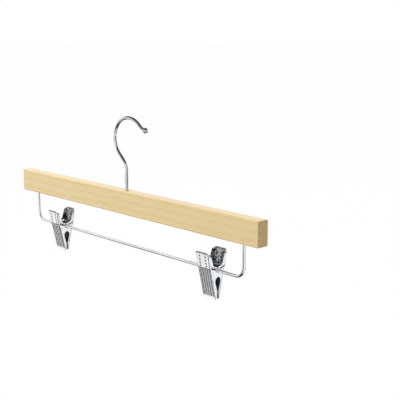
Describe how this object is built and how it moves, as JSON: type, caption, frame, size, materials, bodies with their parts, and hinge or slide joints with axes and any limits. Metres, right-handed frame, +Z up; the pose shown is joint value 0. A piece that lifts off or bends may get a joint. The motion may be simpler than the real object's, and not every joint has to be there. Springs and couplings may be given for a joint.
{
  "type": "skirt hanger",
  "caption": "Wooden bar hanger for skirts and trousers, with a swivelling wire hook and sliding spring clips on a wire rod under the bar.",
  "frame": {"origin": "seat on the inside of the hook's top, where a rail carries the hanger", "axes": "+X along the bar to the right as seen from the front, +Y through its thickness to the back, +Z up"},
  "size_m": [0.355, 0.0246, 0.1494],
  "materials": {
    "natural_wood": "pale natural wood, sanded, clear satin lacquer",
    "hook_wire": "bright chromed round steel wire",
    "rod_wire": "bright chromed round steel wire",
    "washer_steel": "plain zinc plated steel",
    "clip_sheet": "pressed steel sheet, bright chrome outside and thin dull plating inside",
    "grip_pad": "soft matt grey vinyl",
    "eyelet_tube": "rolled steel eyelet, bright chrome on its rims",
    "spring_wire": "drawn and oiled spring steel wire"
  },
  "bodies": {
    "hook": {"swivel_hook": "hook_wire"},
    "bar": {"wood_bar": "natural_wood", "hook_washer": "washer_steel", "trouser_rod": "rod_wire"},
    "left_clip_eyelet": {"left_clip_pivot_tube": "eyelet_tube"},
    "left_clip_rear": {"left_clip_rear_jaw": "clip_sheet", "left_clip_rear_pad": "grip_pad", "left_clip_spring": "spring_wire"},
    "left_clip_front": {"left_clip_front_jaw": "clip_sheet", "left_clip_front_pad": "grip_pad"},
    "right_clip_eyelet": {"right_clip_pivot_tube": "eyelet_tube"},
    "right_clip_rear": {"right_clip_rear_jaw": "clip_sheet", "right_clip_rear_pad": "grip_pad", "right_clip_spring": "spring_wire"},
    "right_clip_front": {"right_clip_front_jaw": "clip_sheet", "right_clip_front_pad": "grip_pad"}
  },
  "joints": [
    {"name": "hook_swivel", "type": "hinge", "parent": "hook", "child": "bar", "pos_m": [-0.00446, 0, -0.06], "axis": [0, 0, 1], "continuous": true},
    {"name": "left_clip_slide", "type": "slide", "parent": "bar", "child": "left_clip_eyelet", "axis": [1, 0, 0], "range_m": [-0.024, 0.103]},
    {"name": "left_clip_swing", "type": "hinge", "parent": "left_clip_eyelet", "child": "left_clip_rear", "pos_m": [-0.11746, 0, -0.1204], "axis": [1, 0, 0], "continuous": true},
    {"name": "left_clip_open", "type": "hinge", "parent": "left_clip_rear", "child": "left_clip_front", "pos_m": [-0.11746, 0, -0.1204], "axis": [-1, 0, 0], "range_deg": [0, 40], "stiffness_Nm_per_rad": 0.09, "springref_deg": -44.98, "deforming": ["left_clip_spring"]},
    {"name": "right_clip_slide", "type": "slide", "parent": "bar", "child": "right_clip_eyelet", "axis": [1, 0, 0], "range_m": [-0.107, 0.02]},
    {"name": "right_clip_swing", "type": "hinge", "parent": "right_clip_eyelet", "child": "right_clip_rear", "pos_m": [0.11254, 0, -0.1204], "axis": [1, 0, 0], "continuous": true},
    {"name": "right_clip_open", "type": "hinge", "parent": "right_clip_rear", "child": "right_clip_front", "pos_m": [0.11254, 0, -0.1204], "axis": [-1, 0, 0], "range_deg": [0, 40], "stiffness_Nm_per_rad": 0.09, "springref_deg": -44.98, "deforming": ["right_clip_spring"]}
  ]
}
